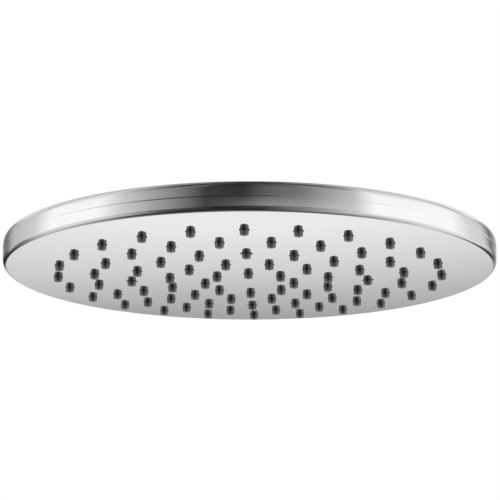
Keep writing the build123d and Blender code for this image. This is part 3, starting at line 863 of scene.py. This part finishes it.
class MirroredStudio:
    """What metal mirrors: a white surround with soft dark cards around, below and behind the head."""

    def __init__(self, tree, swing):
        x, y, z = split(field(tree, "ShaderNodeTexCoord", output="Generated"))
        self.back = y
        self.around = x.math("ARCTAN2", y * -1.0).math("DEGREES") - degrees(swing)
        self.aside = abs(self.around)
        self.up = z.math("ARCSINE").math("DEGREES")
        self.right = self.around.over(RIGHT_HALF)
        self.left = 1.0 - self.right
        self.outer = (self.right * OUTER_SHIFT + self.aside).over(OUTER_ROUND)

    def walls(self):
        """Cards all round, which lean as they rise, a dark ceiling and a dark streak on the outside."""
        aside, up = self.aside, self.up
        lean = up.over(LEAN_UP, smooth=False) ** LEAN_POWER * aside.over(LEAN_ROUND, (0.0, LEAN_SHIFT))
        slant = up.over(SLANT_UP, SLANT_SHIFTS, False) * (aside.over(SLANT_ROUND) * self.right)
        moved = (aside + (lean + slant)).math("MAXIMUM", 0.0) * self.around.math("SIGN")
        upper = up.over(UPPER_UP) * aside.over(UPPER_ROUND)
        level = upper.blend(level_at(moved, WALLS, FULL_TURN), self.right.blend(*UPPER_LEVELS))
        fill = up.over(FILL_TOP) * up.over(FILL_FOOT) * abs(self.around - FILL_CENTRE).over(FILL_ROUND)
        level = fill * FILL_LEVEL + level * up.over(DIM_UP, DIM_LEVELS, False)
        level = up.over(CEILING_UP).blend(level, CEILING_LEVEL)
        tip = aside.over(TIP_ROUND) * self.left * up.over(TIP_UP)
        streak = (self.outer * up.over(STREAK_UP)).math("MAXIMUM", tip)
        return streak.blend(level, aside.over(STREAK_ROUND, STREAK_LEVELS, False))

    def floor(self):
        """Cards on the floor, darkest straight below the head."""
        spans = (NADIR_LEFT_UP, NADIR_RIGHT_UP, NADIR_FAR_UP)
        left, right, far = (self.up.over(span, smooth=False) for span in spans)
        right = self.aside.over(NADIR_ROUND).blend(right, far)
        nadir = self.back.over(NADIR_BACK, NADIR_LEVELS, False)
        return self.right.blend(left, right).blend(level_at(self.around, FLOOR, FULL_TURN), nadir)

    def behind(self):
        """Cards behind the head, with a faint glow to either side."""
        glow = self.aside.over(GLOW_ROUND) * self.right.blend(*GLOW_SHARES)
        glow = glow * self.up.over(GLOW_FOOT) * self.up.over(GLOW_TOP)
        return glow.blend(level_at(self.up, BEHIND, HALF_TURN), GLOW_LEVEL)

    def level(self):
        """The level in every direction."""
        low = self.outer * FLOOR_OUTER_SHIFT + (self.left * FLOOR_LEFT_SHIFT + self.up)
        ahead = low.over(FLOOR_UP).blend(self.walls(), self.floor())
        return self.aside.over(BACK_ROUND).blend(ahead, self.behind())


# Operators


class MakeFinishes(bpy.types.Operator):
    """Make the finishes, and give every node of the frame the one that its slot names"""

    bl_idname = "shower_head.make_finishes"
    bl_label = "Make finishes"

    def execute(self, context):
        for slot, (maker, *settings) in FINISHES.items():
            maker(finish_name(slot), getattr(context.scene.finishes, slot), *settings)
        for part in record["subparts"]:
            mesh = frame["nodes"][part["node"]].data
            mesh.materials.clear()
            mesh.materials.append(finish_of(part["material_slot"]))
        return {"FINISHED"}


class BuildFace(bpy.types.Operator):
    """Build the mirror face: a dished sheet with a hole for each nozzle, and the lower half of the rim"""

    bl_idname = "shower_head.build_face"
    bl_label = "Build face"

    def execute(self, context):
        sizes, nozzle = context.scene.shell_sizes, context.scene.nozzle_sizes
        curves = HeadCurves(sizes)
        nozzles, plugs = ring_places(nozzle)
        plug_hole = (plug_high.x - plug_low.x) / 2 + nozzle.plug_gap
        holes = [(x, y, nozzle.hole_radius) for x, y in nozzles] + [(x, y, plug_hole) for x, y in plugs]
        bm = bmesh.new()
        dished_sheet(bm, curves.face, (0.0, sizes.face_wall), mat_high.x, HEAD_STEPS, holes, nozzle.hole_edge)
        rim = curves.low_rim(RIM_STEPS)
        edge = [curves.face(0.0, r) for r in spaced(mat_high.x, rim[0][0] - SUPPORT, FACE_EDGE_STEPS)]
        inside = [curves.face(sizes.face_wall, r) for r in spaced(curves.cavity, mat_high.x, INSIDE_STEPS)]
        lip = [(curves.cavity, curves.seam_z)]
        revolved(bm, edge + rim + lip + inside, HEAD_STEPS, closed=False)
        tongue = (rim_seal_high.x, rim_seal_high.x + sizes.tongue_wall)
        tongue_top = curves.face(sizes.face_wall, tongue[0])[1] + sizes.tongue_height
        foot = [curves.face(sizes.face_wall / 2, r) for r in tongue]
        revolved(bm, foot + [(r, tongue_top) for r in reversed(tongue)], HEAD_STEPS)
        boss = (boss_high.x - boss_low.x) / 2
        for x, y in plugs:
            boss_foot = curves.face(sizes.face_wall / 2, hypot(x, y))[1]
            tube = [(plug_hole, boss_foot), (boss, boss_foot), (boss, boss_low.z), (plug_hole, boss_low.z)]
            revolved(bm, tube, HOLE_STEPS, centre=(x, y))
        piece = piece_from(bm, "mirror_face", "polished_chrome")
        settle(piece, "head", "polished_chrome", "face_shell")
        return {"FINISHED"}


class BuildTop(bpy.types.Operator):
    """Build the domed top with the upper half of the rim, its hub, skirt, ribs and bosses"""

    bl_idname = "shower_head.build_top"
    bl_label = "Build top"

    def execute(self, context):
        sizes = context.scene.shell_sizes
        curves = HeadCurves(sizes)
        bm = bmesh.new()
        lip_z = curves.seam_z + sizes.seam_gap
        rim = curves.top_rim(lip_z + sizes.seam_slope, RIM_STEPS)
        groove = rim[0][0] - sizes.seam_depth
        break_z = lip_z + LIP_SHARE * sizes.seam_slope
        seam = [(curves.cavity, curves.seam_z), (groove, curves.seam_z), (groove, lip_z)]
        seam.append((groove + LIP_SHARE * sizes.seam_depth, break_z))
        crown = spaced(rim[-1][0] - SUPPORT, curves.land_radius, DOME_STEPS)
        dome = [curves.dome(0.0, r) for r in crown]
        hub_bore = slip_high.x + sizes.hub_gap
        hub = socket_high.x + sizes.hub_margin
        core = [(hub_bore, top_high.z), (hub_bore, flange_high.z), (hub, flange_high.z)]
        inside = [curves.dome(sizes.shell_wall, r) for r in spaced(hub, curves.cavity, DOME_INSIDE_STEPS)]
        revolved(bm, seam + rim + dome + core + inside, HEAD_STEPS)
        skirt = (mat_high.x + sizes.skirt_margin, mat_high.x + sizes.skirt_margin + sizes.skirt_wall)
        foot = [curves.face(sizes.face_wall + sizes.seal_thickness, r) for r in skirt]
        roof = [curves.dome(sizes.shell_wall / 2, r) for r in reversed(skirt)]
        revolved(bm, foot + roof, HEAD_STEPS)
        rib_start = socket_high.x + sizes.hub_margin / 2
        rib_foot = curves.dome(sizes.shell_wall + sizes.rib_depth, skirt[0])[1]
        rib = [curves.dome(sizes.shell_wall / 2, r) for r in spaced(rib_start, skirt[0], RIB_STEPS)]
        rib += [(skirt[0], rib_foot), (rib_start, rib_foot)]
        for place in range(sizes.rib_count):
            plate(bm, rib, sizes.rib_thickness, tau * (place + 0.5) / sizes.rib_count)
        boss = (boss_high.x - boss_low.x) / 2 + sizes.boss_margin
        for x, y in ring_places(context.scene.nozzle_sizes)[1]:
            boss_roof = curves.dome(sizes.shell_wall / 2, hypot(x, y))[1]
            post = [(0.0, boss_high.z), (boss, boss_high.z), (boss, boss_roof), (0.0, boss_roof)]
            revolved(bm, post, HOLE_STEPS, closed=False, centre=(x, y))
        piece = piece_from(bm, "mirror_top", "polished_chrome")
        settle(piece, "head", "polished_chrome", "top_shell")
        return {"FINISHED"}


class BuildNozzles(bpy.types.Operator):
    """Build the silicone mat with its rings of nozzles, and the plugs over the face screws"""

    bl_idname = "shower_head.build_nozzles"
    bl_label = "Build nozzles"

    def execute(self, context):
        sizes, shell = context.scene.nozzle_sizes, context.scene.shell_sizes
        curves = HeadCurves(shell)
        tree = ring_tree()
        radii = ring_radii(sizes)
        values = {
            "First Radius": radii[0],
            "Pitch": radii[1] - radii[0],
            "Free Count": sizes.plug_count,
            "Sphere": curves.face_sphere,
            "Centre Height": curves.face_centre_z,
            "Material": finish_of("dark_silicone"),
        }
        mat = self.mat(curves, sizes, shell)
        form = self.stem("nozzle_form", sizes, shell.face_wall, sizes.stem_radius, -self.reach(curves, radii))
        rings = {"Rings": sizes.ring_count, "First Count": sizes.first_count, "Count Step": sizes.count_step}
        grow(mat, tree, {**values, **rings, "Piece": form, "Free Ring": sizes.plug_ring})
        settle(mat, "head", "dark_silicone", "nozzle_mat")
        plug_radius = radii[sizes.plug_ring]
        face_z = curves.face(0.0, plug_radius)[1]
        shoulder = (plug_high.x - plug_low.x) / 2
        plug = self.stem("plug_form", sizes, plug_high.z - face_z, shoulder, plug_low.z - face_z)
        holder = piece_from(bmesh.new(), "silicone_plugs", "dark_silicone")
        ring = {"Rings": 1, "First Count": sizes.plug_count, "Count Step": 0, "First Radius": plug_radius}
        grow(holder, tree, {**values, **ring, "Piece": plug, "Free Ring": -1})
        names = [f"screw_plug_{number + 1}" for number in range(sizes.plug_count)]
        settle(holder, "head", "dark_silicone", *names)
        for spare in (form, plug):
            bpy.data.objects.remove(spare)
        return {"FINISHED"}

    def reach(self, curves, radii):
        """How far the nozzles stand out of the face, from the mat's lowest point."""
        return curves.face(0.0, radii[0])[1] - mat_low.z

    def mat(self, curves, sizes, shell):
        """The sheet behind the face, with a hole for each screw's boss."""
        boss_hole = (boss_high.x - boss_low.x) / 2 + sizes.boss_gap
        holes = [(x, y, boss_hole) for x, y in ring_places(sizes)[1]]
        depths = (shell.face_wall, shell.face_wall + sizes.mat_thickness)
        bm = bmesh.new()
        dished_sheet(bm, curves.face, depths, mat_high.x, HEAD_STEPS, holes, 0.0)
        revolved(bm, [curves.face(depth, mat_high.x) for depth in depths], HEAD_STEPS, closed=False)
        return piece_from(bm, "silicone_nozzles", "dark_silicone")

    def stem(self, name, sizes, top, shoulder, tip):
        """A nozzle or plug about its own axis, with the face at height 0 and its outlet at the tip."""
        neck = sizes.plug_recess if shoulder > sizes.stem_radius else 0.0
        bore, edge = sizes.orifice_radius, sizes.hole_edge
        wide, soft = sizes.tip_radius, sizes.tip_round
        outlet = [(0.0, tip + sizes.orifice_depth), (bore, tip + sizes.orifice_depth)]
        outlet += [(bore, tip + edge), (bore + edge, tip)]
        end = rounded((wide - soft, tip), (wide, tip), (wide, tip + soft), TIP_STEPS)
        root = [(sizes.stem_radius, neck), (shoulder, neck)] if neck else [(sizes.stem_radius, 0.0)]
        bm = bmesh.new()
        revolved(bm, outlet + end + root + [(shoulder, top), (0.0, top)], NOZZLE_STEPS, closed=False)
        return piece_from(bm, name, "dark_silicone")


class BuildSwivel(bpy.types.Operator):
    """Build the threaded ball nipple, the fluted collar and the filter of woven wire"""

    bl_idname = "shower_head.build_swivel"
    bl_label = "Build swivel"

    def execute(self, context):
        sizes = context.scene.swivel_sizes
        tree = groove_tree()
        radius = inlet["r_mm"] * MM
        foot = -inlet["length_mm"] * MM
        nipple = self.nipple(sizes, radius, foot)
        thread = {
            "Around": 1.0,
            "Turns per Metre": -1.0 / sizes.thread_pitch,
            "Depth": sizes.thread_depth,
            "Inner Radius": radius - sizes.washer_gap,
            "Outer Radius": radius + sizes.washer_gap,
            "Low": foot,
            "High": ball_high.z,
            "Fade": sizes.thread_pitch,
            "Material": finish_of("polished_chrome"),
        }
        grow(nipple, tree, thread)
        settle(nipple, "inlet", "polished_chrome", "ball_nipple")
        collar = self.collar(sizes)
        flutes = {
            "Around": float(sizes.flute_count),
            "Depth": -sizes.flute_depth,
            "Plain Share": sizes.flute_plain,
            "Inner Radius": collar_high.x - sizes.washer_gap,
            "Outer Radius": collar_high.x + sizes.washer_gap,
            "Low": collar_low.z,
            "High": collar_high.z - sizes.collar_round,
            "Fade": sizes.collar_chamfer,
            "Material": finish_of("polished_chrome"),
        }
        grow(collar, tree, flutes)
        settle(collar, "head", "polished_chrome", "collar_nut")
        hoop = self.hoop(sizes)
        wires = {
            "Radius": screen_high.x - sizes.hoop_width / 2,
            "Wires": sizes.wire_count,
            "Wire Radius": (screen_high.z - screen_low.z) / 4,
            "Height": (screen_high.z + screen_low.z) / 2,
            "Material": finish_of("stainless_steel"),
        }
        grow(hoop, weave_tree(), wires)
        settle(hoop, "inlet", "stainless_steel", "filter_screen")
        return {"FINISHED"}

    def nipple(self, sizes, radius, foot):
        """The ball nipple: threaded inlet, neck with two flats, and ball with its seal's groove."""
        neck, ball = radius + sizes.neck_wall, ball_high.x
        seal_z = (oring_low.z + oring_high.z) / 2
        section = (oring_high.z - oring_low.z) / 2
        reach = hypot(oring_high.x - section, seal_z - swivel_z)
        groove = section + sizes.seal_gap
        middle = acos((swivel_z - seal_z) / reach)
        half = acos((ball**2 + reach**2 - groove**2) / (2 * ball * reach))
        neck_angle = tau / 2 - asin(neck / ball)
        foot_angle = acos((swivel_z - ball_low.z) / ball)
        upper = [on_ball(ball, a) for a in spaced(neck_angle, middle + half, BALL_STEPS)]
        lower = [on_ball(ball, a) for a in spaced(middle - half, foot_angle, BALL_FOOT_STEPS)]
        bed = [on_ball(reach - groove, middle)]
        mouth = [(radius, ball_high.z), (neck - sizes.mouth_chamfer, ball_high.z)]
        flats = [(neck, z) for z in spaced(ball_high.z - sizes.mouth_chamfer, -sizes.flat_height, FLAT_STEPS)]
        ledge = [(neck, -sizes.flat_height - 2 * MERGE)]
        narrow, wide = (high.x + sizes.washer_gap for high in (regulator_high, washer_high))
        outlet = [(sizes.outlet_radius, ball_low.z), (sizes.outlet_radius, regulator_low.z)]
        pockets = [(narrow, regulator_low.z), (narrow, washer_low.z), (wide, washer_low.z), (wide, foot)]
        wall = [(radius, z) for z in spaced(foot, ball_high.z, THREAD_STEPS)][:-1]
        bm = bmesh.new()
        revolved(bm, mouth + flats + ledge + upper + bed + lower + outlet + pockets + wall, SWIVEL_STEPS)
        across = neck - sizes.flat_depth
        for vert in bm.verts:
            if vert.co.z > -sizes.flat_height - MERGE:
                vert.co.x = max(-across, min(across, vert.co.x))
        return piece_from(bm, "threaded_nipple", "polished_chrome")

    def collar(self, sizes):
        """The collar that holds the ball down: a ring with a rounded top and a lip over the ball."""
        wide, top, foot = collar_high.x, collar_high.z, collar_low.z
        bore = wide - sizes.collar_wall
        lip = sqrt(ball_high.x**2 - (slip_high.z - swivel_z) ** 2) + sizes.lip_gap
        soft = sizes.collar_round
        side = [(wide, z) for z in spaced(foot + sizes.collar_chamfer, top - soft, GRIP_STEPS)]
        head = rounded((wide, top - soft), (wide, top), (wide - soft, top), COLLAR_ROUND_STEPS)
        profile = [(bore, foot), (wide - sizes.collar_chamfer, foot)] + side + head[1:]
        profile += [(lip, top), (lip, slip_high.z), (bore, slip_high.z)]
        bm = bmesh.new()
        revolved(bm, profile, sizes.flute_count * FLUTE_STEPS)
        return piece_from(bm, "fluted_collar", "polished_chrome")

    def hoop(self, sizes):
        """The hoop that carries the filter's wires."""
        radii = (screen_high.x - sizes.hoop_width, screen_high.x)
        profile = [(r, screen_low.z) for r in radii] + [(r, screen_high.z) for r in reversed(radii)]
        bm = bmesh.new()
        revolved(bm, profile, SWIVEL_STEPS)
        return piece_from(bm, "wire_filter", "stainless_steel")


class SetStage(bpy.types.Operator):
    """Set the stage: pale floor, soft studio light and a camera at the photo's angle"""

    bl_idname = "shower_head.set_stage"
    bl_label = "Set stage"

    def execute(self, context):
        scene = context.scene
        settings = scene.studio
        scene.view_settings.view_transform = "Standard"
        self.floor(scene, settings)
        self.lamp(scene, settings)
        self.camera(scene, settings)
        scene.world = self.world(settings)
        return {"FINISHED"}

    def floor(self, scene, settings):
        """A plain pale floor far below."""
        height = -settings.floor_drop
        bm = bmesh.new()
        revolved(bm, [(0.0, height), (settings.floor_radius, height)], FLOOR_STEPS, closed=False)
        floor = piece_from(bm, "floor")
        colour = tuple(scene.finishes.floor)
        shader, place = new_finish(FLOOR_FINISH, colour, 0.0)
        vary(shader, noise(place, FLOOR_GRAIN), colour, FLOOR_SHADE, FLOOR_ROUGHNESS)
        floor.data.materials.append(bpy.data.materials[FLOOR_FINISH])
        floor.visible_glossy = False

    def lamp(self, scene, settings):
        """One soft lamp from above and in front."""
        data = bpy.data.lights.new("soft_lamp", "AREA")
        data.size = settings.lamp_size
        data.energy = settings.lamp_power
        lamp = bpy.data.objects.new("soft_lamp", data)
        lamp.location = LAMP_PLACE
        lamp.rotation_euler = (-lamp.location).to_track_quat("-Z", "Y").to_euler()
        lamp.visible_glossy = False
        scene.collection.objects.link(lamp)

    def camera(self, scene, settings):
        """The photo's camera, below the face and looking up at it."""
        curves = HeadCurves(scene.shell_sizes)
        aim = Vector((0.0, 0.0, curves.face(0.0, ring_radii(scene.nozzle_sizes)[-1])[1]))
        level = cos(settings.drop)
        away = Vector((level * sin(settings.swing), -level * cos(settings.swing), -sin(settings.drop)))
        data = bpy.data.cameras.new("camera")
        data.lens = settings.lens
        data.shift_x, data.shift_y = settings.shift_x, settings.shift_y
        camera = bpy.data.objects.new("camera", data)
        camera.location = aim + away * settings.distance
        sight = (-away).to_track_quat("-Z", "Y")
        camera.rotation_euler = (sight @ Quaternion((0.0, 0.0, 1.0), settings.roll)).to_euler()
        scene.collection.objects.link(camera)
        scene.camera = camera

    def world(self, settings):
        """White to the camera and through glass, the mirrored studio to metal, an even level to the rest."""
        world = bpy.data.worlds.new("studio")
        world.use_nodes = True
        tree = world.node_tree
        tree.nodes.clear()
        ray = add_node(tree, "ShaderNodeLightPath").outputs
        kinds = ("Is Camera Ray", "Is Glossy Ray", "Is Transmission Ray")
        camera, glossy, clear = (Field(tree, ray[kind]) for kind in kinds)
        level = glossy.blend(settings.plain_level, MirroredStudio(tree, settings.swing).level())
        level = camera.math("MAXIMUM", clear).blend(level, 1.0)
        shade = field(tree, "ShaderNodeBackground", {"Color": WHITE, "Strength": level})
        add_node(tree, "ShaderNodeOutputWorld", {"Surface": shade})
        return world


OPERATORS = (MakeFinishes, BuildFace, BuildTop, BuildNozzles, BuildSwivel, SetStage)


class ShowerHeadPanel(bpy.types.Panel):
    """Sizes, colours and buttons of the shower head"""

    bl_idname = "VIEW3D_PT_shower_head"
    bl_label = "Shower head"
    bl_space_type = "VIEW_3D"
    bl_region_type = "UI"
    bl_category = "Shower head"

    def draw(self, context):
        for operator in OPERATORS:
            self.layout.operator(operator.bl_idname)
        for name, group in GROUPS.items():
            box = self.layout.box()
            box.label(text=name.replace("_", " ").capitalize())
            for field in group.__annotations__:
                box.prop(getattr(context.scene, name), field)


def register():
    for cls in (*GROUPS.values(), *OPERATORS, ShowerHeadPanel):
        bpy.utils.register_class(cls)
    for name, group in GROUPS.items():
        setattr(bpy.types.Scene, name, PointerProperty(type=group))


def unregister():
    for name in GROUPS:
        delattr(bpy.types.Scene, name)
    for cls in reversed((*GROUPS.values(), *OPERATORS, ShowerHeadPanel)):
        bpy.utils.unregister_class(cls)


def main():
    """Builds every piece and the stage."""
    register()
    bpy.ops.shower_head.make_finishes()
    bpy.ops.shower_head.build_face()
    bpy.ops.shower_head.build_top()
    bpy.ops.shower_head.build_nozzles()
    bpy.ops.shower_head.build_swivel()
    bpy.ops.shower_head.set_stage()


if __name__ == "__main__":
    main()
